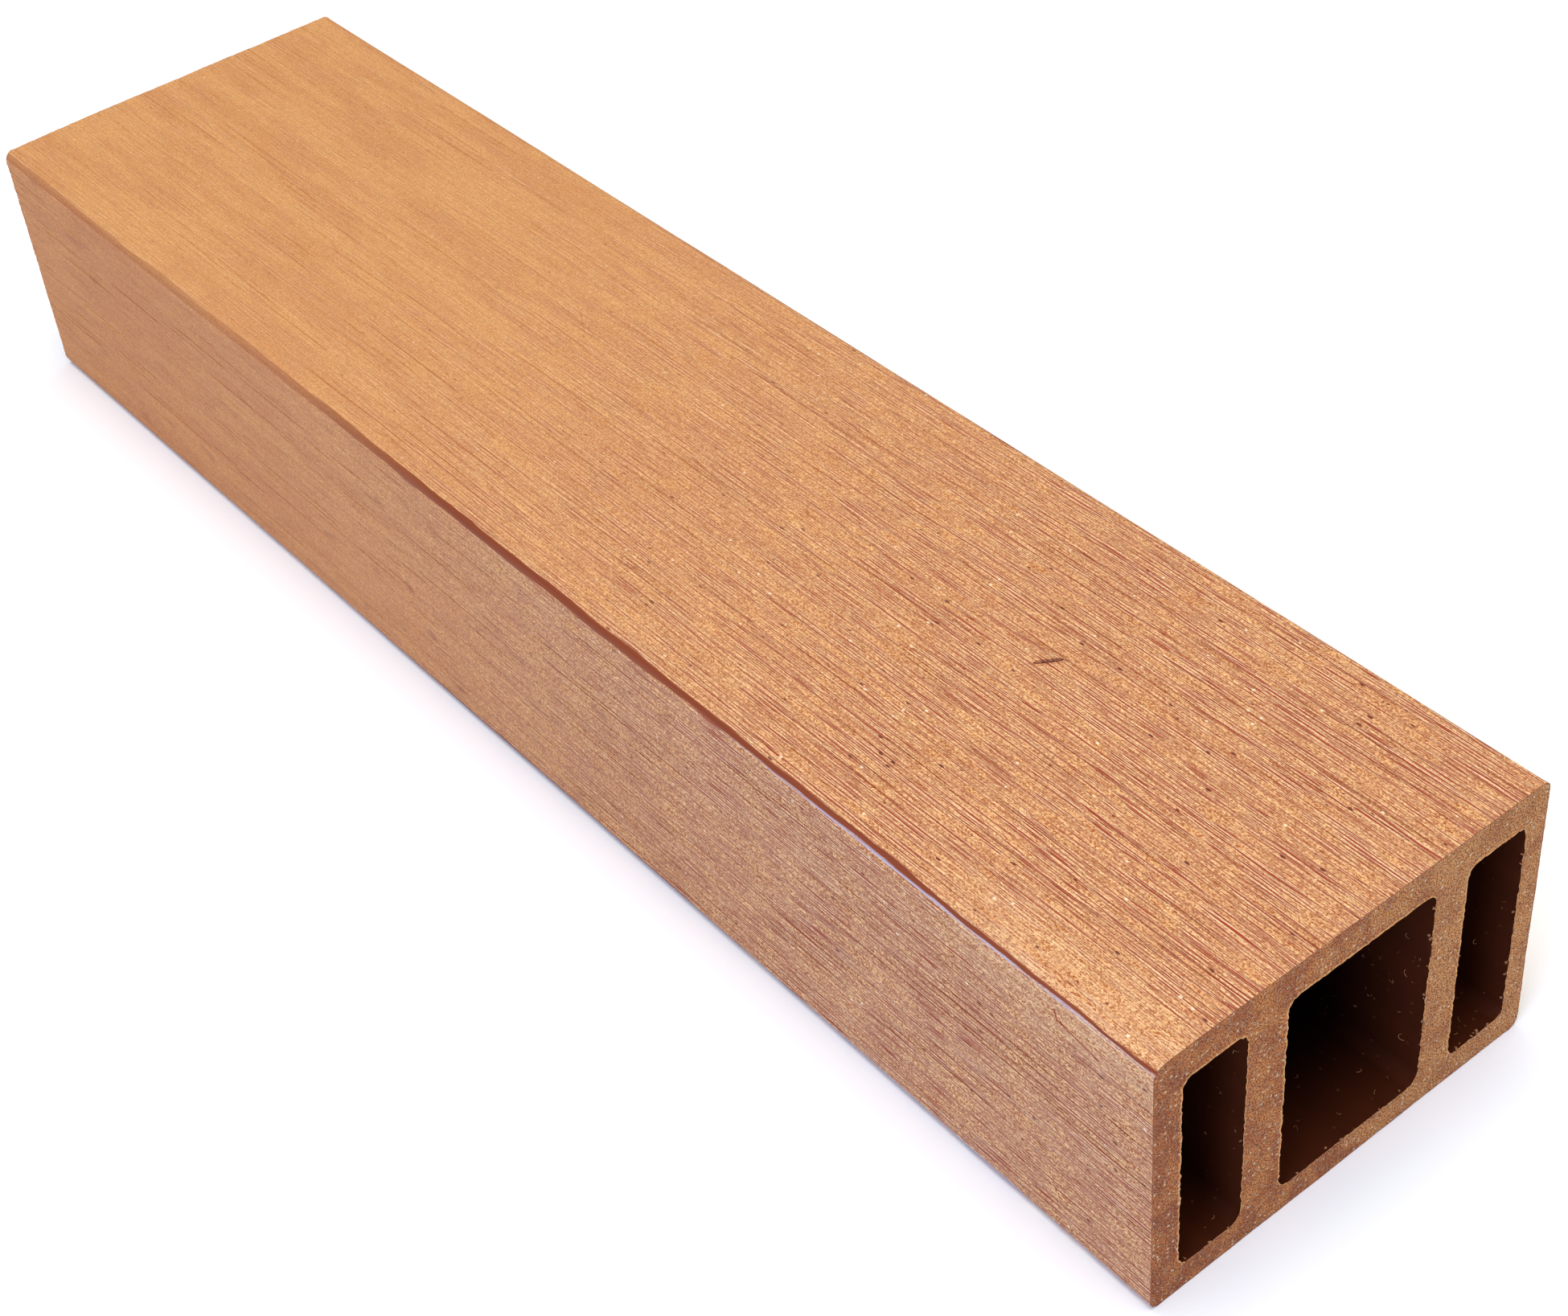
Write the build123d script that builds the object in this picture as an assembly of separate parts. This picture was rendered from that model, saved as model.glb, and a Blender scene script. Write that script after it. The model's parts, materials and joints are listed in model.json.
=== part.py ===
from build123d import *
import os

# Hollow composite timber tube: one extruded piece with three through cells, sawn square at both ends.
# X runs along the length, Y across the width and Z up; the underside lies at Z = 0.
# Left and right are as seen when facing the sawn end at +X, so left is towards -Y.

# Overall size
length = 315.0
width = 75.0
height = 50.0

# Outer walls, each as thick as the die left it
top_wall = 6.2
bottom_wall = 5.2
left_wall = 5.2
right_wall = 4.2

# Webs between the cells
left_web = 7.4
right_web = 6.4

# The two narrow side cells are alike, and the centre cell takes the width that is left
side_cell = 11.8

# Roundings of the long outer edges and of the cells' inner corners
arris_radius = 2.0
cell_radius = 2.0

# A rounding stays clear of half the width it turns in
largest_rounding = 0.48

# Places worked out from the sizes above
solid_width = left_wall + left_web + right_web + right_wall
centre_cell = width - solid_width - 2 * side_cell
cell_height = height - top_wall - bottom_wall
left_cell_start = left_wall - width / 2
centre_cell_start = left_cell_start + side_cell + left_web
right_cell_start = centre_cell_start + centre_cell + right_web


def rounded(across, up, radius):
    """A rectangle with its corners rounded, no further than its narrow side allows."""
    return RectangleRounded(across, up, min(radius, largest_rounding * min(across, up)))


def cell(start, across):
    """The outline of one cell, from its left side at start."""
    return Pos(start + across / 2, bottom_wall + cell_height / 2) * rounded(across, cell_height, cell_radius)


def tube_section():
    """The section that the die gives the tube: outer outline less the three cells."""
    section = Pos(0, height / 2) * rounded(width, height, arris_radius)
    section -= cell(left_cell_start, side_cell)
    section -= cell(centre_cell_start, centre_cell)
    section -= cell(right_cell_start, side_cell)
    return section


def tube():
    """The section extruded half the length each way, so both ends are square cuts."""
    return extrude(Plane.YZ * tube_section(), amount=length / 2, both=True)


os.makedirs("parts", exist_ok=True)
export_step(tube(), "parts/tube.step")
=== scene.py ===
# A sample length of hollow composite timber tube, lying on a pale floor.
# The tube is cut, bored and rounded as one block, then brushed and sawn.

import bpy
import bmesh
import json
import math
import random
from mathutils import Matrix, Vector, noise


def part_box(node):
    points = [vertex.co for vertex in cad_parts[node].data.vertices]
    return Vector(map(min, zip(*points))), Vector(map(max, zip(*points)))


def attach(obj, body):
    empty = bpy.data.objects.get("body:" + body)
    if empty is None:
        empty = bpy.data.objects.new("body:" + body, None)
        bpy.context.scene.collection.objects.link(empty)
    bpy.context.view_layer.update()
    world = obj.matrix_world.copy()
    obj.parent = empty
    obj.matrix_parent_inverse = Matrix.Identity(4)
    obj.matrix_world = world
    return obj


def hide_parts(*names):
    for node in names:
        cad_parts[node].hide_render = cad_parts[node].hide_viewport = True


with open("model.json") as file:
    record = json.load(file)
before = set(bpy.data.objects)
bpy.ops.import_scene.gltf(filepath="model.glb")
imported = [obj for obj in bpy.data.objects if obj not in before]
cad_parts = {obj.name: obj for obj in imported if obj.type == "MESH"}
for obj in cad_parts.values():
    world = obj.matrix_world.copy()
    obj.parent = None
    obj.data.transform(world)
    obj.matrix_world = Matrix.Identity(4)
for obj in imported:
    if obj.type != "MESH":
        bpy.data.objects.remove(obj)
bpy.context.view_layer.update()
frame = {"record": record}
tubeLow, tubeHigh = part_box("tube")
mm = 0.001
tiny = 0.001 * mm
halfLength, halfWidth, height = tubeHigh.x, tubeHigh.y, tubeHigh.z
middle = height / 2


# Small tools for the mesh work

def takeUp(obj):
    bpy.ops.object.select_all(action="DESELECT")
    obj.select_set(True)
    bpy.context.view_layer.objects.active = obj


def startEditing(obj):
    takeUp(obj)
    bpy.ops.object.mode_set(mode="EDIT")


def stopEditing():
    bpy.ops.object.mode_set(mode="OBJECT")


def pickFaces(obj, wanted):
    bpy.ops.mesh.select_mode(type="FACE")
    bpy.ops.mesh.select_all(action="DESELECT")
    mesh = bmesh.from_edit_mesh(obj.data)
    for face in mesh.faces:
        if wanted(face.calc_center_median(), face.normal):
            face.select_set(True)
    bmesh.update_edit_mesh(obj.data)


def pickLongEdges(obj, wanted):
    # edges that run along X, chosen by their middle and length
    bpy.ops.mesh.select_mode(type="EDGE")
    bpy.ops.mesh.select_all(action="DESELECT")
    mesh = bmesh.from_edit_mesh(obj.data)
    for edge in mesh.edges:
        a, b = edge.verts[0].co, edge.verts[1].co
        run = (b - a).length
        if abs(b.x - a.x) > 0.99 * run and wanted((a + b) / 2, run):
            edge.select_set(True)
    bmesh.update_edit_mesh(obj.data)


def isolate(obj, wanted):
    # hides every face but the wanted ones, so that what follows leaves the rest alone
    pickFaces(obj, wanted)
    bpy.ops.mesh.hide(unselected=True)


def showAll():
    bpy.ops.mesh.reveal(select=False)


def cutAcross(axis, place):
    # cuts all that is in sight with a plane across one axis
    normal = [0, 0, 0]
    normal[axis] = 1
    bpy.ops.mesh.select_all(action="SELECT")
    bpy.ops.mesh.bisect(plane_co=[n * place for n in normal], plane_no=normal, threshold=tiny)


# The tube

tube = {
    "openingInset": 0.6 * mm,      # the record's opening boxes stay this far off the cell walls
    "arris": 2.0 * mm,             # rounding of the long outer edges
    "arrisSteps": 7,
    "cellCorner": 2.0 * mm,        # rounding of the cells
    "cellCornerSteps": 5,
    "endRings": (0.45 * mm, 1.3 * mm, 3.0 * mm),   # rows close to each sawn end
    "sawnGrid": 0.52 * mm,         # mesh size on the sawn ends
    "rows": 84,                    # rows along the brushed faces
    "cellRows": 7,                 # rows along the cells
    "trackPitch": 1.02 * mm,       # from one brushed groove's track to the next
    "pitchSpread": (0.72, 1.28),
    "grooveHalf": (0.07 * mm, 0.13 * mm),
    "grooveDepth": 0.16 * mm,
    "grooveRun": (4 * mm, 36 * mm),
    "grooveGap": (3 * mm, 50 * mm),
    "shallowest": 0.12,            # share of the depth that the faintest groove keeps
    "patchiness": (14, 90, 0.45),  # deeper patches to a metre along and across, and how much deeper
    "taper": 3.2 * mm,             # how gently a groove starts and ends
    "patternPlace": (0.02, 0.3, 0.1),  # where the patterns below are centred
    "wander": 0.9 * mm,            # how far the grooves stray sideways
    "wanderGrain": 14 * mm,
    "wanderStretch": (3, 1, 1),
    "edgeFade": 3.0 * mm,          # the straying and the waves fade out this near a long edge
    "edgeWave": 0.25,              # the part of the waves that stays at the edge
    "wave": 0.22 * mm,             # height and size of the flats' soft waves
    "waveGrain": 9 * mm,
    "waveStretch": (5, 1, 1),
    "sunkWidth": 18 * mm,          # the top sags a little towards its left edge
    "sunkDepth": 0.35 * mm,
    "sawnDepth": 0.16 * mm,        # roughness of the sawn ends
    "sawnGrain": 0.8 * mm,
    "ragged": 0.7 * mm,            # how far the saw tore the cell edges about
    "raggedGrain": 0.75 * mm,
    "raggedReach": 1.2 * mm,       # how far from the edge the tearing reaches
    "outerRagged": 0.3,            # share of it at the outer edges
    "smoothAngle": 38,             # degrees
    "seed": 41,
}

cells = []
for opening in frame["record"]["physics"]["openings"]:
    low, high = opening["box_m"]
    inset = tube["openingInset"]
    cells.append((low[1] - inset, high[1] + inset, low[2] - inset, high[2] + inset))
cellBottom, cellTop = cells[0][2:]


def inCell(c):
    # a point of the section inside a cell or on its wall
    grow = 0.1 * mm
    return any(y0 - grow < c.y < y1 + grow and z0 - grow < c.z < z1 + grow for y0, y1, z0, z1 in cells)


def onSkin(c):
    # a point of the outer skin: its flats or its rounded edges
    inset = tube["arris"] + tiny
    return not inCell(c) and (abs(c.y) > halfWidth - inset or abs(c.z - middle) > middle - inset)


def boredBlock():
    bpy.ops.object.select_all(action="DESELECT")
    size = tubeHigh - tubeLow
    bpy.ops.mesh.primitive_cube_add(size=1, location=(tubeLow + tubeHigh) / 2, scale=size)
    piece = bpy.context.object
    piece.name = "brushedTube"
    bpy.ops.object.transform_apply(location=True, rotation=False, scale=True)
    startEditing(piece)
    for y0, y1, z0, z1 in cells:
        cutAcross(1, y0)
        cutAcross(1, y1)
    cutAcross(2, cellBottom)
    cutAcross(2, cellTop)
    for y0, y1, z0, z1 in cells:
        pickFaces(piece, lambda c, n: abs(n.x) > 0.9 and y0 < c.y < y1 and z0 < c.z < z1)
        bpy.ops.mesh.bridge_edge_loops()
    return piece


def roundEdges(piece):
    outer = [(y, z) for y in (-halfWidth, halfWidth) for z in (0, height)]
    inner = [(y, z) for y0, y1, z0, z1 in cells for y in (y0, y1) for z in (z0, z1)]
    for corners, size, steps in (
        (outer, tube["arris"], tube["arrisSteps"]),
        (inner, tube["cellCorner"], tube["cellCornerSteps"]),
    ):
        pickLongEdges(
            piece, lambda c, run: any(abs(c.y - y) < tiny and abs(c.z - z) < tiny for y, z in corners)
        )
        bpy.ops.mesh.bevel(offset=size, segments=steps, profile=0.5, affect="EDGES")


def cutEndRings(piece):
    for ring in tube["endRings"]:
        cutAcross(0, halfLength - ring)
        cutAcross(0, ring - halfLength)


def gridSawnEnds(piece):
    isolate(piece, lambda c, n: abs(n.x) > 0.9 or inCell(c))
    step = tube["sawnGrid"]
    for i in range(int(2 * halfWidth / step)):
        cutAcross(1, step * (i + 0.5) - halfWidth)
    for i in range(int(height / step)):
        cutAcross(2, step * (i + 0.5))
    showAll()


def grooveTracks(chance, start, end):
    # centre and half width of each track that a brush wire could take between start and end
    tracks = []
    place = start + tube["trackPitch"] / 2
    while place < end - 0.3 * mm:
        tracks.append((place, chance.uniform(*tube["grooveHalf"])))
        place += tube["trackPitch"] * chance.uniform(*tube["pitchSpread"])
    return tracks


def cutTracks(piece, chance):
    # three lines for each track: its two lips and its bottom
    inset = tube["arris"]
    bottoms = {}
    for axis, facing, reach in (
        (1, 2, (inset - halfWidth, halfWidth - inset)),
        (2, 1, (inset, height - inset)),
    ):
        for side in (-1, 1):
            isolate(piece, lambda c, n: side * n[facing] > 0.9 and onSkin(c))
            bottoms[axis, side] = tracks = grooveTracks(chance, *reach)
            for place, half in tracks:
                for line in (place - half, place, place + half):
                    cutAcross(axis, line)
            showAll()
    return bottoms


def cutRows(piece):
    long = 2 * (halfLength - tube["endRings"][-1]) - tiny
    pickLongEdges(piece, lambda c, run: run > long and onSkin(c))
    bpy.ops.mesh.subdivide(number_cuts=tube["rows"])
    pickLongEdges(piece, lambda c, run: run > long)
    bpy.ops.mesh.subdivide(number_cuts=tube["cellRows"])


def skinDepth(y, z):
    # how far a point of the section lies inside the outer outline
    r = tube["arris"]
    a, b = abs(y) - (halfWidth - r), abs(z - middle) - (middle - r)
    return r - (math.hypot(max(a, 0), max(b, 0)) + min(max(a, b), 0))


def cellGap(y, z):
    # how far a point of the section lies from the nearest cell
    r = tube["cellCorner"]
    gaps = []
    for y0, y1, z0, z1 in cells:
        a = abs(y - (y0 + y1) / 2) - ((y1 - y0) / 2 - r)
        b = abs(z - (z0 + z1) / 2) - ((z1 - z0) / 2 - r)
        gaps.append(math.hypot(max(a, 0), max(b, 0)) + min(max(a, b), 0) - r)
    return min(gaps)


def anyLength(chance, least, most):
    # short lengths come up as often as long ones
    return least * (most / least) ** chance.random()


def brushRuns(chance, place, axis, side):
    # where one track is really grooved: start, end and depth of each run
    alongScale, acrossScale, deeper = tube["patchiness"]
    runs = []
    x = -halfLength - chance.uniform(0, tube["grooveRun"][1])
    while x < halfLength:
        run = anyLength(chance, *tube["grooveRun"])
        patch = noise.noise(Vector((x * alongScale, place * acrossScale, axis * 7 + side)))
        depth = chance.uniform(0.1, 0.9) ** 1.3 + deeper * patch
        runs.append((x, x + run, min(1, max(tube["shallowest"], depth))))
        x += run + anyLength(chance, *tube["grooveGap"])
    return runs


def weighVertices(piece, chance, grooves):
    # vertex groups for the shaping below, and the same facts as attributes for the materials
    runs = {}
    for (axis, side), tracks in grooves.items():
        for place, half in tracks:
            runs[axis, side, round(place / tiny)] = brushRuns(chance, place, axis, side)
    names = ("grooves", "flatLevel", "flatUpright", "skin", "sawn", "rim", "sunk")
    groups = {name: piece.vertex_groups.new(name=name) for name in names}
    facts = {name: [0.0] * len(piece.data.vertices) for name in ("groove", "cellGap", "skinGap")}
    endReach = tube["endRings"][1]

    def weigh(name, vertex, weight):
        groups[name].add([vertex.index], weight, "REPLACE")

    for v in piece.data.vertices:
        x, y, z = v.co
        fromEnd = halfLength - abs(x)
        inside, gap = skinDepth(y, z), cellGap(y, z)
        if inside < tiny:
            level = abs(z - middle) > middle - tiny
            axis, place, side = (1, y, z - middle) if level else (2, z, y)
            fromEdge = halfWidth - abs(y) if level else middle - abs(z - middle)
            flat = max(0, min(1, fromEdge / tube["edgeFade"]))
            weigh("flatLevel" if level else "flatUpright", v, flat)
            weigh("skin", v, tube["edgeWave"] + (1 - tube["edgeWave"]) * flat)
            for start, end, depth in runs.get((axis, 1 if side > 0 else -1, round(place / tiny)), ()):
                if start < x < end:
                    weight = depth * min(1, (x - start) / tube["taper"], (end - x) / tube["taper"])
                    weigh("grooves", v, weight)
                    facts["groove"][v.index] = weight
        if fromEnd < endReach:
            nearCell = 1 - gap / tube["raggedReach"]
            nearSkin = tube["outerRagged"] * (1 - inside / tube["raggedReach"])
            weigh("rim", v, max(0, nearCell, nearSkin) * (1 - fromEnd / endReach))
            if fromEnd < tiny and gap > tiny and inside > tiny:
                weigh("sawn", v, 1.0)
        if z > middle:
            sunk = max(0, 1 - (y + halfWidth) / tube["sunkWidth"]) ** 2
            weigh("sunk", v, sunk * min(1, (z - middle) / middle * 1.2))
        facts["cellGap"][v.index] = gap / mm
        facts["skinGap"][v.index] = inside / mm
    for name, values in facts.items():
        attribute = piece.data.attributes.new(name, "FLOAT", "POINT")
        attribute.data.foreach_set("value", values)


def press(piece, group, direction, strength, grain=None, stretch=(1, 1, 1), level=0.5, detail=2):
    # pushes one vertex group along a direction, evenly or by a cloud pattern of a given grain size
    takeUp(piece)
    shaping = piece.modifiers.new(group, "DISPLACE")
    shaping.vertex_group = group
    shaping.direction = direction
    shaping.strength = strength
    shaping.mid_level = level
    if grain:
        bpy.ops.object.empty_add(location=tube["patternPlace"])
        guide = bpy.context.object
        guide.scale = stretch
        takeUp(piece)
        pattern = bpy.data.textures.new(group, "CLOUDS")
        pattern.noise_scale = grain
        pattern.noise_depth = detail
        shaping.texture = pattern
        shaping.texture_coords = "OBJECT"
        shaping.texture_coords_object = guide
    bpy.ops.object.modifier_apply(modifier=shaping.name)
    if grain:
        bpy.data.objects.remove(guide)


def shapeTube(piece):
    press(piece, "flatLevel", "Y", tube["wander"], tube["wanderGrain"], tube["wanderStretch"])
    press(piece, "flatUpright", "Z", tube["wander"], tube["wanderGrain"], tube["wanderStretch"])
    press(piece, "grooves", "NORMAL", -tube["grooveDepth"], level=0)
    press(piece, "skin", "NORMAL", tube["wave"], tube["waveGrain"], tube["waveStretch"], level=1)
    press(piece, "sunk", "Z", -tube["sunkDepth"], level=0)
    press(piece, "sawn", "NORMAL", tube["sawnDepth"], tube["sawnGrain"], level=1, detail=3)
    press(piece, "rim", "Y", tube["ragged"], tube["raggedGrain"], detail=3)
    press(piece, "rim", "Z", tube["ragged"], tube["raggedGrain"], (1.1, 1.1, 0.9), detail=3)
    bpy.ops.object.shade_smooth_by_angle(angle=math.radians(tube["smoothAngle"]))
    piece.vertex_groups.clear()


# Tools for the materials

white = (1, 1, 1, 1)


def paint(red, green, blue):
    # a colour as a picture editor shows it, turned into the linear one that a shader takes
    shown = [c / 255 for c in (red, green, blue)]
    return tuple(c / 12.92 if c <= 0.04045 else ((c + 0.055) / 1.055) ** 2.4 for c in shown) + (1.0,)


def setInputs(tree, node, wires):
    # a socket is linked and a plain value is set
    for name, source in wires.items():
        if isinstance(source, bpy.types.NodeSocket):
            tree.links.new(source, node.inputs[name])
        else:
            node.inputs[name].default_value = source


def addNode(tree, kind, wires=None, **settings):
    made = tree.nodes.new(kind)
    for name, value in settings.items():
        setattr(made, name, value)
    setInputs(tree, made, wires or {})
    return made


def newFinish(name):
    finish = bpy.data.materials.new(name)
    finish.use_nodes = True
    tree = finish.node_tree
    place = addNode(tree, "ShaderNodeTexCoord").outputs["Object"]
    axes = addNode(tree, "ShaderNodeSeparateXYZ", {0: place}).outputs
    return finish, tree, tree.nodes["Principled BSDF"], axes


def calc(tree, operation, a, b=0.0):
    return addNode(tree, "ShaderNodeMath", {0: a, 1: b}, operation=operation).outputs[0]


def plus(tree, a, b):
    return calc(tree, "ADD", a, b)


def minus(tree, a, b):
    return calc(tree, "SUBTRACT", a, b)


def times(tree, a, b):
    return calc(tree, "MULTIPLY", a, b)


def greater(tree, a, b):
    return calc(tree, "MAXIMUM", a, b)


def unsigned(tree, a):
    return calc(tree, "ABSOLUTE", a)


def remap(tree, value, low, high, newLow=0, newHigh=1):
    wires = {"Value": value, "From Min": low, "From Max": high, "To Min": newLow, "To Max": newHigh}
    return addNode(tree, "ShaderNodeMapRange", wires, interpolation_type="SMOOTHSTEP").outputs[0]


def spread(tree, level, half):
    # the middle of a noise's range, so far to each side, drawn out to 0 to 1
    return remap(tree, level, 0.5 - half, 0.5 + half)


def evened(tree, level, keen):
    # the same mean with less contrast
    return plus(tree, times(tree, minus(tree, level, 0.5), keen), 0.5)


def lay(tree, factor, under, over, way="MIX"):
    wires = {0: factor, 6: under, 7: over}
    return addNode(tree, "ShaderNodeMix", wires, data_type="RGBA", blend_type=way).outputs[2]


def tint(tree, colour, by, factor=1):
    return lay(tree, factor, colour, by, "MULTIPLY")


def bumps(tree, relief, distance, strength):
    wires = {"Height": relief, "Distance": distance, "Strength": strength}
    return addNode(tree, "ShaderNodeBump", wires).outputs[0]


def readFact(tree, name):
    return addNode(tree, "ShaderNodeAttribute", attribute_name=name).outputs["Fac"]


def flatPlace(tree, across, up):
    # the place on a face, so that the textures below need two dimensions only
    return addNode(tree, "ShaderNodeCombineXYZ", {0: across, 1: up}).outputs[0]


def scaledPlace(tree, place, along, across, shift):
    scale = (1 / (along * mm), 1 / (across * mm), 1)
    wires = {"Vector": place, "Location": (shift, shift, 0), "Scale": scale}
    return addNode(tree, "ShaderNodeMapping", wires).outputs[0]


def clouds(tree, place, along, across, detail=2.0, rough=0.5, shift=0.0):
    # noise whose grains are so many millimetres long and wide
    moved = scaledPlace(tree, place, along, across, shift)
    wires = {"Vector": moved, "Scale": 1.0, "Detail": detail, "Roughness": rough}
    return addNode(tree, "ShaderNodeTexNoise", wires, noise_dimensions="2D").outputs[0]


def spots(tree, place, along, across, shift=0.0, scatter=1.0):
    # scattered spots: the scaled place, its nearest spot and that spot's own three random numbers
    moved = scaledPlace(tree, place, along, across, shift)
    wires = {"Vector": moved, "Scale": 1.0, "Randomness": scatter}
    nearest = addNode(tree, "ShaderNodeTexVoronoi", wires, voronoi_dimensions="2D").outputs
    dice = addNode(tree, "ShaderNodeSeparateColor", {"Color": nearest["Color"]}).outputs
    return moved, nearest, dice


def granules(tree, place, along, across):
    # a random level for each grain
    moved, nearest, dice = spots(tree, place, along, across)
    return dice[0]


def flecks(tree, place, along, across, share, radius, shift):
    # 1 inside a fleck, 0 elsewhere; share is the part of the spots that hold one
    moved, nearest, dice = spots(tree, place, along, across, shift)
    reach = remap(tree, dice[1], 0, 1, 0.6 * radius, 1.3 * radius)
    inside = remap(tree, calc(tree, "DIVIDE", nearest["Distance"], reach), 1, 0.5)
    return times(tree, inside, calc(tree, "GREATER_THAN", dice[0], 1 - share))


def scratches(tree, place, along, across, width, share, shift):
    # thin pointed lines along the tube and the raised lips beside them, as two masks
    moved, nearest, dice = spots(tree, place, along, across, shift, scatter=0.85)
    wires = {0: moved, 1: nearest["Position"]}
    way = addNode(tree, "ShaderNodeVectorMath", wires, operation="SUBTRACT").outputs[0]
    off = addNode(tree, "ShaderNodeSeparateXYZ", {0: way}).outputs
    size = remap(tree, dice[1], 0, 1, 0.55, 1)
    taper = remap(tree, unsigned(tree, off[0]), 0.5, 0.1, 0, 0.5 * width / across)
    reach = greater(tree, times(tree, taper, size), 0.001)
    inside = minus(tree, 1, calc(tree, "DIVIDE", unsigned(tree, off[1]), reach))
    lip = remap(tree, unsigned(tree, plus(tree, inside, 0.7)), 0.7, 0.1)
    weight = times(tree, calc(tree, "LESS_THAN", dice[0], share), remap(tree, dice[2], 0, 1, 0.5, 1))
    return times(tree, remap(tree, inside, 0, 0.5), weight), times(tree, lip, weight)


def strokeMark(tree, at, start, end, half):
    # 1 on a straight stroke between two points, 0 away from it
    dx, dy = end[0] - start[0], end[1] - start[1]
    run = math.hypot(dx, dy)
    px, py = minus(tree, at[0], start[0]), minus(tree, at[1], start[1])
    along = plus(tree, times(tree, px, dx / run), times(tree, py, dy / run))
    aside = minus(tree, times(tree, py, dx / run), times(tree, px, dy / run))
    past = minus(tree, unsigned(tree, minus(tree, along, run / 2)), run / 2)
    return remap(tree, greater(tree, unsigned(tree, aside), past), half, half * 0.4)


def alongTube(tree, x, stops, column):
    # a value that changes along the tube from stop to stop
    value = stops[0][column]
    for here, there in zip(stops, stops[1:]):
        value = plus(tree, value, remap(tree, x, here[0], there[0], 0, there[column] - here[column]))
    return value


# The finishes
# A pattern's size is in millimetres: along the tube and across it, or across a sawn end and up it.

brushed = {
    "tan": paint(243, 188, 128),
    "warm": paint(253, 204, 139),
    "line": paint(164, 50, 1),
    "lip": paint(255, 226, 184),
    "fleck": paint(252, 222, 182),
    "chip": paint(112, 42, 20),
    "skin": paint(114, 44, 10),
    "skinLight": paint(138, 60, 20),
    # painted highlight: the lavender colour laid on the facet
    "shine": paint(150, 132, 160),
    # these five multiply the colour below them; the last three are painted light
    "streak": paint(243, 228, 218),
    "grain": paint(172, 110, 38),
    "farTop": paint(255, 255, 241),
    "nearSide": paint(251, 252, 255),
    "farSide": paint(250, 231, 212),
    "patchSize": (44, 5),
    "streakSize": (10, 0.34),
    "grainSize": (0.27, 0.2),
    "swaySize": (30, 6),
    "sway": 0.5 * mm,              # how far the scratches sway sideways
    "clumpSize": (16, 3),
    "rippleSize": (12, 4),
    "drawnSize": (30, 0.5),
    # size of each spot's patch, share of the patches with a spot, its radius in a patch, shift
    "fleckSpots": (2.4, 1.8, 0.03, 0.13, 4),
    "chipSpots": (2.6, 1.1, 0.03, 0.2, 19),
    # length, spacing, width, share, least strength and shift of each family of scratches
    "scratches": (
        (20, 0.9, 0.34, 0.8, 0.9, 3),
        (11, 0.6, 0.3, 0.8, 0.7, 31),
        (7, 0.42, 0.26, 0.95, 0.5, 57),
    ),
    "grooveShade": 0.75,           # how strongly the mesh's grooves take the colour of a line
    "lipShare": 0.6,
    # a hooked scratch on the left face: its points in x and z, and half its width
    "hook": ((139.5 * mm, 46.2 * mm), (140.1 * mm, 44.7 * mm), (147.6 * mm, 43.2 * mm)),
    "hookHalf": 0.22 * mm,
    # from one x to another, and the values at both
    "keenness": (-70 * mm, 120 * mm, 0.25, 1),
    "patchContrast": (-80 * mm, 100 * mm, 0.8, 0.35),
    "farTopFade": (-130 * mm, 100 * mm, 1, 0),
    "farSideFade": (-130 * mm, 120 * mm, 1, 0),
    "skinFade": (-70 * mm, 5 * mm, 0.42, 1),
    "facetStart": (60 * mm, 104 * mm, 0, 1),
    "facetEnd": (130 * mm, 146 * mm, 1, 0.3),
    # beside the upper left edge near the sawn end the marks are fainter: by the distance and by x
    "sparedWidth": (4 * mm, 11 * mm, 1, 0),
    "sparedLength": (100 * mm, 135 * mm, 0, 0.75),
    # painted shade: grain and lines are crisper on the sides, standing in for relief shading under
    # grazing light
    "sideGrain": 0.5,              # how much crisper grain and lines are on the sides
    "sideLines": 0.22,
    # x, and how far the skin reaches down and up each long edge there, in radians
    "skinReach": (
        (-157 * mm, 0.1, 0.95),
        (0.0, 0.12, 1.0),
        (50 * mm, 0.14, 1.0),
        (80 * mm, 0.35, 0.92),
        (157 * mm, 0.42, 0.72),
    ),
    "facetFoot": (0.14, 0.22),     # the facet's lower edge, in radians too
    "rippleTurn": 0.5,             # how far both edges of the skin ripple, in radians
    "rippleAlong": 60 * mm,        # and the ends of the facet
    "relief": 0.18 * mm,
    "reliefStrength": (0.8, 0.03),     # on the brushed faces and on the skin
    "roughness": (0.64, 0.5),
    "coatRoughness": 0.16,
    "coatIOR": 2.5,
}


def edgeTurn(tree, axes):
    # the turn of the rounded long edges: 0 on the sides, a quarter turn on the top and underside
    a = minus(tree, unsigned(tree, axes[1]), halfWidth - tube["arris"])
    b = minus(tree, unsigned(tree, minus(tree, axes[2], middle)), middle - tube["arris"])
    return calc(tree, "ARCTAN2", greater(tree, b, 0), greater(tree, a, tiny))


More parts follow.
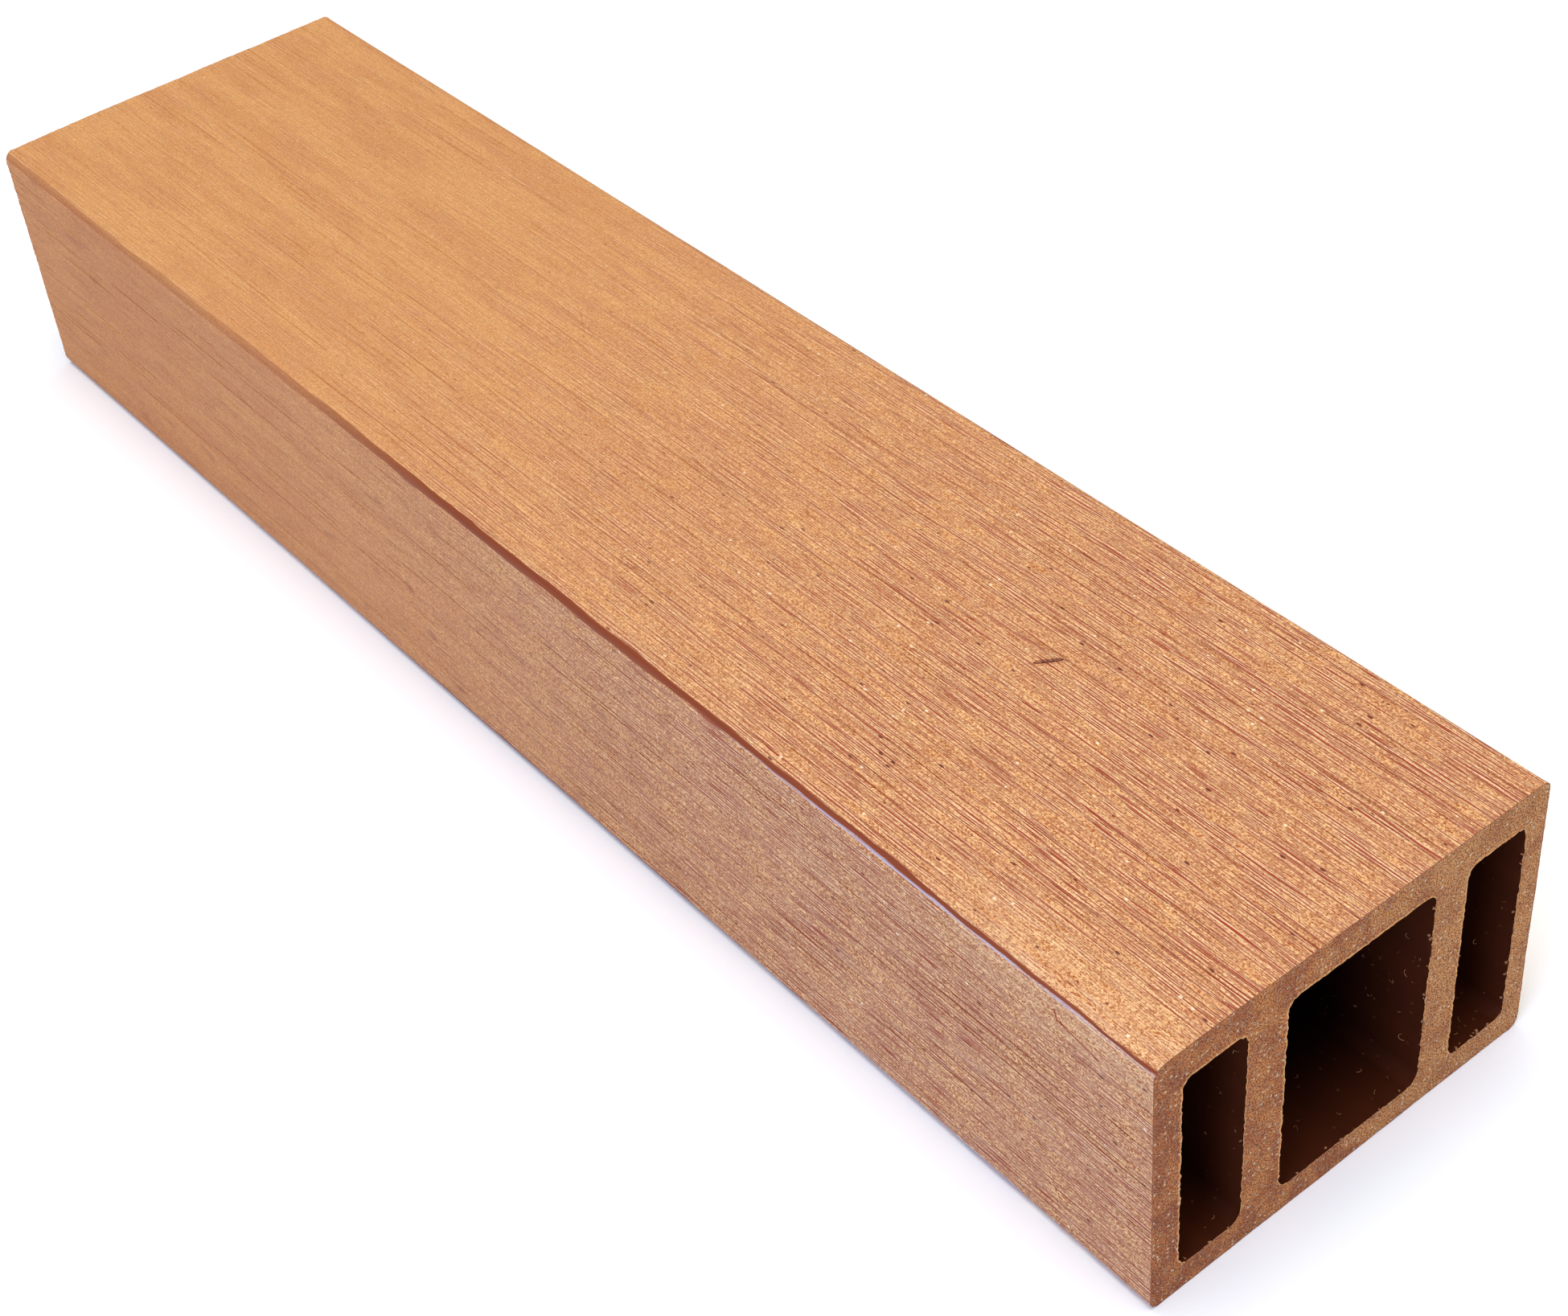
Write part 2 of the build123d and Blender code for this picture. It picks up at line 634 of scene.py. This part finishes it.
def brushMarks(tree, axes, around, keen, onSides):
    # scratches in three lengths, the grooves of the mesh and the hooked scratch, as lines and lips
    place = flatPlace(tree, axes[0], around)
    sway = times(tree, clouds(tree, place, *brushed["swaySize"], shift=16), brushed["sway"])
    combed = flatPlace(tree, axes[0], plus(tree, around, sway))
    clumps = clouds(tree, place, *brushed["clumpSize"], detail=1, shift=5)
    line = remap(tree, readFact(tree, "groove"), 0.1, 0.6, 0, brushed["grooveShade"])
    lip = 0.0
    for length, across, width, share, least, shift in brushed["scratches"]:
        thin, beside = scratches(tree, combed, length, across, width, share, shift)
        here = remap(tree, clumps, 0.42, 0.58, least, 1)
        line = greater(tree, line, times(tree, thin, here))
        lip = greater(tree, lip, times(tree, beside, here))
    # the lines are darker on the sides as painted shade, and deeper there in the bump
    line = times(tree, line, times(tree, keen, remap(tree, onSides, 0, 1, 1, 1 + brushed["sideLines"])))
    fromEdge = unsigned(tree, minus(tree, around, height - halfWidth))
    spared = remap(tree, fromEdge, *brushed["sparedWidth"])
    spared = times(tree, spared, remap(tree, axes[0], *brushed["sparedLength"]))
    line = times(tree, line, minus(tree, 1, spared))
    onLeft = calc(tree, "LESS_THAN", axes[1], 1 * mm - halfWidth)
    for start, end in zip(brushed["hook"], brushed["hook"][1:]):
        mark = strokeMark(tree, (axes[0], axes[2]), start, end, brushed["hookHalf"])
        line = greater(tree, line, times(tree, mark, onLeft))
    return line, times(tree, lip, keen)


def edgeSkin(tree, x, place, turn):
    # the dark skin of the die on the rounded long edges, and a polished facet below it near the sawn end,
    # painted with a highlight on top of its real coat
    ripple = minus(tree, clouds(tree, place, *brushed["rippleSize"], detail=3, shift=6.5), 0.5)
    wavy = plus(tree, turn, times(tree, ripple, brushed["rippleTurn"]))
    low, high = (alongTube(tree, x, brushed["skinReach"], column) for column in (1, 2))
    aboveLow = remap(tree, minus(tree, wavy, low), -0.05, 0.07)
    skin = times(tree, aboveLow, remap(tree, minus(tree, high, wavy), -0.05, 0.07))
    skin = times(tree, skin, remap(tree, x, *brushed["skinFade"]))
    facet = times(tree, minus(tree, 1, aboveLow), remap(tree, turn, *brushed["facetFoot"]))
    broken = plus(tree, x, times(tree, ripple, brushed["rippleAlong"]))
    facet = times(tree, facet, remap(tree, broken, *brushed["facetStart"]))
    facet = times(tree, facet, remap(tree, broken, *brushed["facetEnd"]))
    return skin, facet


def brushedFinish():
    finish, tree, shader, axes = newFinish("brushedComposite")
    x = axes[0]
    around = plus(tree, axes[1], axes[2])    # a place across the faces that runs on round the long edges
    place = flatPlace(tree, x, around)
    turn = edgeTurn(tree, axes)
    onSides = remap(tree, turn, 0.3, 0.9, 1, 0)

    # soft long patches, fine combed streaks and the sandy grain, all fainter towards the far end
    keen = remap(tree, x, *brushed["keenness"])
    # painted shade: grain and streaks have more contrast on the sides
    crisp = times(tree, keen, plus(tree, 1, times(tree, onSides, brushed["sideGrain"])))
    patches = spread(tree, clouds(tree, place, *brushed["patchSize"], shift=3.1), 0.12)
    patches = evened(tree, patches, remap(tree, x, *brushed["patchContrast"]))
    colour = lay(tree, patches, brushed["tan"], brushed["warm"])
    # painted light: the whole brushed finish turns warmer towards the far end
    colour = tint(tree, colour, brushed["farTop"], remap(tree, x, *brushed["farTopFade"]))
    streak = spread(tree, clouds(tree, place, *brushed["streakSize"], detail=1, shift=8), 0.1)
    colour = tint(tree, colour, lay(tree, evened(tree, streak, crisp), brushed["streak"], white))
    grain = granules(tree, place, *brushed["grainSize"])
    colour = tint(tree, colour, lay(tree, evened(tree, grain, crisp), brushed["grain"], white))

    line, lip = brushMarks(tree, axes, around, keen, onSides)
    colour = lay(tree, times(tree, lip, brushed["lipShare"]), colour, brushed["lip"])
    colour = lay(tree, line, colour, brushed["line"])
    for name in ("fleck", "chip"):
        spot = flecks(tree, place, *brushed[name + "Spots"])
        colour = lay(tree, times(tree, spot, keen), colour, brushed[name])
    # painted light on the sides: cooler near the sawn end, warmer towards the far end
    side = lay(tree, remap(tree, x, *brushed["farSideFade"]), brushed["nearSide"], brushed["farSide"])
    colour = tint(tree, colour, side, onSides)

    skin, facet = edgeSkin(tree, x, place, turn)
    drawn = clouds(tree, place, *brushed["drawnSize"], detail=1, shift=9)
    colour = lay(tree, skin, colour, lay(tree, drawn, brushed["skin"], brushed["skinLight"]))
    # painted highlight: the facet's colour lightened to lavender, over its real coat
    colour = lay(tree, times(tree, facet, 0.9), colour, brushed["shine"])
    relief = minus(tree, times(tree, grain, 0.9), line)
    strength = remap(tree, greater(tree, skin, facet), 0, 1, *brushed["reliefStrength"])
    setInputs(tree, shader, {
        "Base Color": colour,
        "Roughness": remap(tree, skin, 0, 1, *brushed["roughness"]),
        "Normal": bumps(tree, relief, brushed["relief"], strength),
        "Coat Weight": facet,
        "Coat Roughness": brushed["coatRoughness"],
        "Coat IOR": brushed["coatIOR"],
    })
    return finish


sawn = {
    "brown": paint(225, 143, 69),
    "dim": paint(196, 114, 54),
    # painted light and sheen towards the right wall, together with pale patches
    "dusty": paint(237, 167, 95),
    # painted shade on the end face towards its left wall
    "shade": paint(238, 226, 226),     # multiplies the left wall
    "grain": paint(150, 120, 104),     # multiplies all of it
    "fibre": paint(255, 228, 182),
    "pit": paint(116, 58, 36),
    "cellEdge": paint(248, 180, 112),
    "outerEdge": paint(160, 90, 58),
    "patchSize": (5, 5),
    "grainSize": (0.3, 0.26),
    "curlSize": (0.7, 0.55),
    "curlPatch": (1.3, 1.1),
    "edgeSize": (0.6, 0.6),
    # as the spots of the brushed finish
    "crumbSpots": (0.9, 0.8, 0.18, 0.26, 3),
    "pitSpots": (1.1, 1.0, 0.18, 0.22, 17),
    "fibreShare": 0.7,
    "pitShare": 0.7,
    "shadeWidth": 12 * mm,
    # from one gap in millimetres to another, and the strengths at both
    "cellRim": (0.05, 0.3, 0.75, 0),
    "outerRim": (0.1, 0.4, 0.6, 0),
    "relief": 0.2 * mm,
    "reliefStrength": 0.8,
    "roughness": 0.8,
}


def sawnFinish():
    finish, tree, shader, axes = newFinish("sawnComposite")
    place = flatPlace(tree, axes[1], axes[2])
    patches = clouds(tree, place, *sawn["patchSize"], detail=3, shift=1)
    colour = lay(tree, spread(tree, patches, 0.12), sawn["dim"], sawn["brown"])
    # painted light and sheen: paler towards the right wall, and in pale patches
    dusty = plus(tree, remap(tree, axes[1], -halfWidth, 30 * mm, -0.2, 0.5), patches)
    colour = lay(tree, remap(tree, dusty, 0.5, 1.2), colour, sawn["dusty"])
    # painted shade: the end face darker towards its left wall
    shade = remap(tree, axes[1], -halfWidth, sawn["shadeWidth"] - halfWidth, 1, 0)
    colour = tint(tree, colour, sawn["shade"], shade)
    grain = clouds(tree, place, *sawn["grainSize"], detail=1, rough=0.65, shift=7)
    colour = tint(tree, colour, lay(tree, spread(tree, grain, 0.12), sawn["grain"], white))

    # torn fibres show as light curls and crumbs, with small pits between
    away = unsigned(tree, minus(tree, clouds(tree, place, *sawn["curlSize"], shift=31), 0.5))
    some = remap(tree, clouds(tree, place, *sawn["curlPatch"], shift=23), 0.5, 0.58)
    curl = times(tree, remap(tree, away, 0.035, 0.008), some)
    light = greater(tree, times(tree, curl, 0.7), flecks(tree, place, *sawn["crumbSpots"]))
    pit = flecks(tree, place, *sawn["pitSpots"])
    colour = lay(tree, times(tree, light, sawn["fibreShare"]), colour, sawn["fibre"])
    colour = lay(tree, times(tree, pit, sawn["pitShare"]), colour, sawn["pit"])

    # the saw left a light rim round each cell and a dark one along the outer skin
    uneven = minus(tree, clouds(tree, place, *sawn["edgeSize"], shift=13), 0.5)
    uneven = times(tree, uneven, 0.6)
    for fact, rim, edge in (("cellGap", "cellRim", "cellEdge"), ("skinGap", "outerRim", "outerEdge")):
        gap = plus(tree, readFact(tree, fact), uneven)
        colour = lay(tree, remap(tree, gap, *sawn[rim]), colour, sawn[edge])
    relief = plus(tree, grain, times(tree, minus(tree, light, pit), 0.6))
    setInputs(tree, shader, {
        "Base Color": colour,
        "Roughness": sawn["roughness"],
        "Normal": bumps(tree, relief, sawn["relief"], sawn["reliefStrength"]),
    })
    return finish


# the cells' lining: its drawn streaks and dust are its own, its near-black colour and its darkening
# deeper in are painted shade
cellSkin = {
    "dark": paint(10, 4, 2),
    "warm": paint(72, 29, 11),
    "dust": paint(96, 58, 32),
    "drawnSize": (60, 5),
    "dustSpots": (2.1, 1.6, 0.1, 0.12, 5),
    # painted shade: darker deeper inside the cell, lighter only near the sawn ends
    "mouth": (135 * mm, halfLength, 0, 0.8),   # lighter near the ends, by the distance from the middle
    "relief": 0.15 * mm,
    "reliefStrength": 0.3,
    "roughness": 0.6,
    "specular": 0.06,
}


def cellFinish():
    finish, tree, shader, axes = newFinish("cellSkin")
    place = flatPlace(tree, axes[0], plus(tree, axes[1], axes[2]))
    drawn = clouds(tree, place, *cellSkin["drawnSize"], shift=2)
    # painted shade: the lining darkens with distance from the sawn ends
    nearMouth = remap(tree, unsigned(tree, axes[0]), *cellSkin["mouth"])
    lightness = plus(tree, nearMouth, remap(tree, drawn, 0.35, 0.7, 0, 0.12))
    colour = lay(tree, lightness, cellSkin["dark"], cellSkin["warm"])
    specks = flecks(tree, place, *cellSkin["dustSpots"])
    colour = lay(tree, times(tree, specks, 0.8), colour, cellSkin["dust"])
    setInputs(tree, shader, {
        "Base Color": colour,
        "Roughness": cellSkin["roughness"],
        "Specular IOR Level": cellSkin["specular"],
        "Normal": bumps(tree, drawn, cellSkin["relief"], cellSkin["reliefStrength"]),
    })
    return finish


def giveFinishes(piece):
    # the brushed finish takes all faces first, then the sawn ends and the cells get their own
    for finish in (brushedFinish(), sawnFinish(), cellFinish()):
        piece.data.materials.append(finish)
    startEditing(piece)
    for index, wanted in (
        (1, lambda c, n: abs(c.x) > halfLength - tiny),
        (2, lambda c, n: abs(c.x) < halfLength - tiny and inCell(c)),
    ):
        pickFaces(piece, wanted)
        piece.active_material_index = index
        bpy.ops.object.material_slot_assign()
    stopEditing()


chance = random.Random(tube["seed"])
brushedTube = boredBlock()
roundEdges(brushedTube)
cutEndRings(brushedTube)
grooves = cutTracks(brushedTube, chance)
gridSawnEnds(brushedTube)
cutRows(brushedTube)
stopEditing()
print("tube blank:", len(brushedTube.data.polygons), "faces")
giveFinishes(brushedTube)
weighVertices(brushedTube, chance, grooves)
shapeTube(brushedTube)
print("tube brushed and sawn")
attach(brushedTube, "root")
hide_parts("tube")


# What the saw left: dust curls inside the cells, crumbs on their rims and one splinter on top

dust = {
    "curls": 130,
    "curlSize": (0.22 * mm, 0.8 * mm),
    "curlRing": 0.5 * mm,          # radius of a curl's ring and of its strand before it is scaled
    "curlStrand": 0.045 * mm,
    "curlReach": (1.5 * mm, 34 * mm),  # the nearest to the sawn end, and how much farther in they lie
    "onWall": 0.7,                 # share that clings to the right wall of a cell
    "tilt": 0.4,                   # radians
    "crumbs": 70,
    "crumbSize": (0.12 * mm, 0.34 * mm),
    "crumbReach": (0.05 * mm, 0.6 * mm),
    "light": paint(186, 128, 80),
    "dark": paint(132, 80, 44),
    "seed": 7,
}


def dustFinish():
    finish, tree, shader, axes = newFinish("dustComposite")
    shade = clouds(tree, flatPlace(tree, axes[1], axes[2]), 1.5, 1.5)
    colour = lay(tree, shade, dust["dark"], dust["light"])
    setInputs(tree, shader, {"Base Color": colour, "Roughness": 0.8})
    return finish


def oneCurl():
    # part of a thin ring with its two ends closed
    bpy.ops.object.select_all(action="DESELECT")
    sizes = {"major_radius": dust["curlRing"], "minor_radius": dust["curlStrand"]}
    bpy.ops.mesh.primitive_torus_add(major_segments=12, minor_segments=4, **sizes)
    piece = bpy.context.object
    startEditing(piece)
    pickFaces(piece, lambda c, n: c.x < 0.9 * c.y)
    bpy.ops.mesh.delete(type="FACE")
    bpy.ops.mesh.select_all(action="SELECT")
    bpy.ops.mesh.fill_holes(sides=4)
    bpy.ops.mesh.select_all(action="SELECT")
    bpy.ops.mesh.normals_make_consistent(inside=False)
    stopEditing()
    return piece


def oneCrumb():
    # a small rough ball of 1 mm radius
    bpy.ops.object.select_all(action="DESELECT")
    bpy.ops.mesh.primitive_ico_sphere_add(subdivisions=1, radius=1 * mm)
    piece = bpy.context.object
    startEditing(piece)
    bpy.ops.mesh.select_all(action="SELECT")
    bpy.ops.transform.vertex_random(offset=0.3 * mm, uniform=1.0, normal=0.0, seed=3)
    stopEditing()
    return piece


def scatter(model, places, name):
    # copies the model to each place, turned and scaled, and joins the copies
    copies = []
    for place, turn, scale in places:
        takeUp(model)
        bpy.ops.object.duplicate()
        copy = bpy.context.object
        copy.location, copy.rotation_euler, copy.scale = place, turn, scale
        copies.append(copy)
    bpy.data.objects.remove(model)
    bpy.ops.object.select_all(action="DESELECT")
    for copy in copies:
        copy.select_set(True)
    bpy.context.view_layer.objects.active = copies[0]
    bpy.ops.object.transform_apply(location=True, rotation=True, scale=True)
    bpy.ops.object.join()
    piece = bpy.context.object
    piece.name = name
    bpy.ops.object.origin_set(type="ORIGIN_CURSOR")
    return piece


def curlPlaces(chance):
    # most cling to the right wall of a cell and the rest lie on its floor, near the sawn end
    tilt = dust["tilt"]
    nearest, farther = dust["curlReach"]
    places = []
    for _ in range(dust["curls"]):
        y0, y1, z0, z1 = cells[chance.choice((0, 1, 1, 2))]
        x = halfLength - (nearest + farther * chance.random() ** 1.5)
        if chance.random() < dust["onWall"]:
            place = (x, y1 - 0.05 * mm, chance.uniform(z0 + tube["cellCorner"], z1 - tube["cellCorner"]))
            turn = [math.pi / 2 + chance.uniform(-tilt, tilt), chance.uniform(-0.5, 0.5)]
        else:
            place = (x, chance.uniform(y0 + tube["cellCorner"], y1 - tube["cellCorner"]), z0 + 0.05 * mm)
            turn = [chance.uniform(-tilt, tilt), chance.uniform(-tilt, tilt)]
        turn.append(chance.uniform(0, 6.3))
        size = chance.uniform(*dust["curlSize"]) / (0.6 * mm)
        places.append((place, turn, (size, size * chance.uniform(0.4, 1), size)))
    return places


def crumbPlaces(chance):
    inset = 1.5 * mm
    places = []
    for _ in range(dust["crumbs"]):
        y0, y1, z0, z1 = chance.choice(cells)
        side = chance.choice("left right top bottom".split())
        y = {"left": y0, "right": y1}.get(side, chance.uniform(y0 + inset, y1 - inset))
        z = {"top": z1, "bottom": z0}.get(side, chance.uniform(z0 + inset, z1 - inset))
        size = [chance.uniform(*dust["crumbSize"]) / mm for _ in range(3)]
        turn = [chance.uniform(0, 6.3) for _ in range(3)]
        places.append(((halfLength - chance.uniform(*dust["crumbReach"]), y, z), turn, size))
    return places


splinter = {
    "from": (91.8 * mm, 3.4 * mm),
    "to": (94.3 * mm, 7.1 * mm),
    "width": 0.46 * mm,
    "thickness": 0.3 * mm,
    "sections": (-0.36, -0.16, 0.1, 0.33),     # where it is cut across, as shares of its length
    "tips": ((-1, 0.15), (1, 0.3)),            # how narrow it gets at each end
    "tipThin": 0.3,
    "crown": 0.1 * mm,             # how far its middle line rises
    "lift": 0.02 * mm,             # its middle above the top face
    "smoothAngle": 40,
    "colour": paint(96, 44, 24),
    "core": paint(168, 96, 56),
}


def splinterFinish():
    finish, tree, shader, axes = newFinish("splinterComposite")
    fibres = clouds(tree, flatPlace(tree, axes[0], axes[1]), 0.9, 0.25)
    colour = lay(tree, remap(tree, fibres, 0.45, 0.65), splinter["colour"], splinter["core"])
    setInputs(tree, shader, {"Base Color": colour, "Roughness": 0.7})
    return finish


def makeSplinter():
    # a sliver drawn out to a point at both ends, with a raised middle
    ax, ay = splinter["from"]
    bx, by = splinter["to"]
    run = math.hypot(bx - ax, by - ay)
    bpy.ops.object.select_all(action="DESELECT")
    bpy.ops.mesh.primitive_cube_add(size=1, scale=(run, splinter["width"], splinter["thickness"]))
    piece = bpy.context.object
    piece.name = "splinter"
    bpy.ops.object.transform_apply(location=False, rotation=False, scale=True)
    startEditing(piece)
    for part in splinter["sections"]:
        cutAcross(0, part * run)
    cutAcross(1, 0)
    for side, narrow in splinter["tips"]:
        pickFaces(piece, lambda c, n: side * n.x > 0.9)
        bpy.ops.transform.resize(value=(1, narrow, splinter["tipThin"]))
    bpy.ops.mesh.select_mode(type="VERT")
    bpy.ops.mesh.select_all(action="DESELECT")
    mesh = bmesh.from_edit_mesh(piece.data)
    for v in mesh.verts:
        v.select_set(abs(v.co.y) < tiny and v.co.z > 0 and abs(v.co.x) < 0.45 * run)
    bmesh.update_edit_mesh(piece.data)
    bpy.ops.transform.translate(value=(0, 0, splinter["crown"]))
    stopEditing()
    piece.rotation_euler.z = math.atan2(by - ay, bx - ax)
    piece.location = ((ax + bx) / 2, (ay + by) / 2, height + splinter["lift"])
    bpy.ops.object.transform_apply(location=True, rotation=True, scale=False)
    bpy.ops.object.shade_smooth_by_angle(angle=math.radians(splinter["smoothAngle"]))
    piece.data.materials.append(splinterFinish())
    return piece


chance = random.Random(dust["seed"])
sawdust = scatter(oneCurl(), curlPlaces(chance), "sawdust")
rimCrumbs = scatter(oneCrumb(), crumbPlaces(chance), "rimCrumbs")
loose = dustFinish()
for piece in (sawdust, rimCrumbs):
    piece.data.materials.append(loose)
for piece in (sawdust, rimCrumbs, makeSplinter()):
    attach(piece, "root")
print("sawdust, crumbs and splinter")


# Floor, light and camera

stage = {
    "floorSide": 6.0,
    "floor": (0.96, 0.96, 0.96, 1),
    "floorBounce": (0.74, 0.76, 0.8, 1),
    "floorRoughness": 0.9,
    "room": (1, 0.99, 0.97, 1),
    "roomStrength": 0.3,
}

lamps = {
    "overhead": {
        "place": (0.15, -0.1, 2.4),
        "size": (2.0, 2.0),
        "power": 61.0,
        "colour": (1.0, 0.98, 0.95),
    },
    "coolSide": {
        "place": (0.5, -1.1, 0.5),
        "size": (0.5, 0.4),
        "power": 9.8,
        "colour": (0.42, 0.59, 1.0),
    },
}


def layFloor():
    bpy.ops.object.select_all(action="DESELECT")
    bpy.ops.mesh.primitive_plane_add(size=stage["floorSide"], location=(0, 0, 0))
    floor = bpy.context.object
    floor.name = "floor"
    pale = bpy.data.materials.new("paleFloor")
    pale.use_nodes = True
    tree = pale.node_tree
    shader = tree.nodes["Principled BSDF"]
    # white where it is seen, straight or in a gloss, and greyer for the light that it throws back
    rays = addNode(tree, "ShaderNodeLightPath").outputs
    seen = greater(tree, rays["Is Camera Ray"], rays["Is Glossy Ray"])
    seen = greater(tree, seen, rays["Is Transmission Ray"])
    colour = lay(tree, seen, stage["floorBounce"], stage["floor"])
    setInputs(tree, shader, {"Base Color": colour, "Roughness": stage["floorRoughness"]})
    floor.data.materials.append(pale)


def lightRoom():
    room = bpy.data.worlds.new("room")
    bpy.context.scene.world = room
    room.use_nodes = True
    tree = room.node_tree
    setInputs(tree, tree.nodes["Background"], {"Color": stage["room"], "Strength": stage["roomStrength"]})


def hangLamp(name, facts):
    bpy.ops.object.light_add(type="AREA", location=facts["place"])
    lamp = bpy.context.object
    lamp.name = name
    lamp.data.shape = "RECTANGLE"
    lamp.data.size, lamp.data.size_y = facts["size"]
    lamp.data.energy = facts["power"]
    lamp.data.color = facts["colour"]
    aim = Vector((0, 0, middle)) - Vector(facts["place"])
    lamp.rotation_euler = aim.to_track_quat("-Z", "Y").to_euler()


camera = {
    "place": (0.31114, -0.19321, 0.30978),
    "turn": (48.88, 4.597, 51.07),     # degrees
    "lens": 62.281,
    "sensor": 36,
    "clipStart": 0.01,
}


def setCamera():
    turn = [math.radians(a) for a in camera["turn"]]
    bpy.ops.object.camera_add(location=camera["place"], rotation=turn)
    eye = bpy.context.object
    eye.data.sensor_width = camera["sensor"]
    eye.data.lens = camera["lens"]
    eye.data.clip_start = camera["clipStart"]
    bpy.context.scene.camera = eye


layFloor()
lightRoom()
for name, facts in lamps.items():
    hangLamp(name, facts)
setCamera()
bpy.context.scene.view_settings.view_transform = "Standard"
# the denoiser's prefilter would smear the fine grain
bpy.context.scene.cycles.denoising_prefilter = "NONE"
print("stage set")
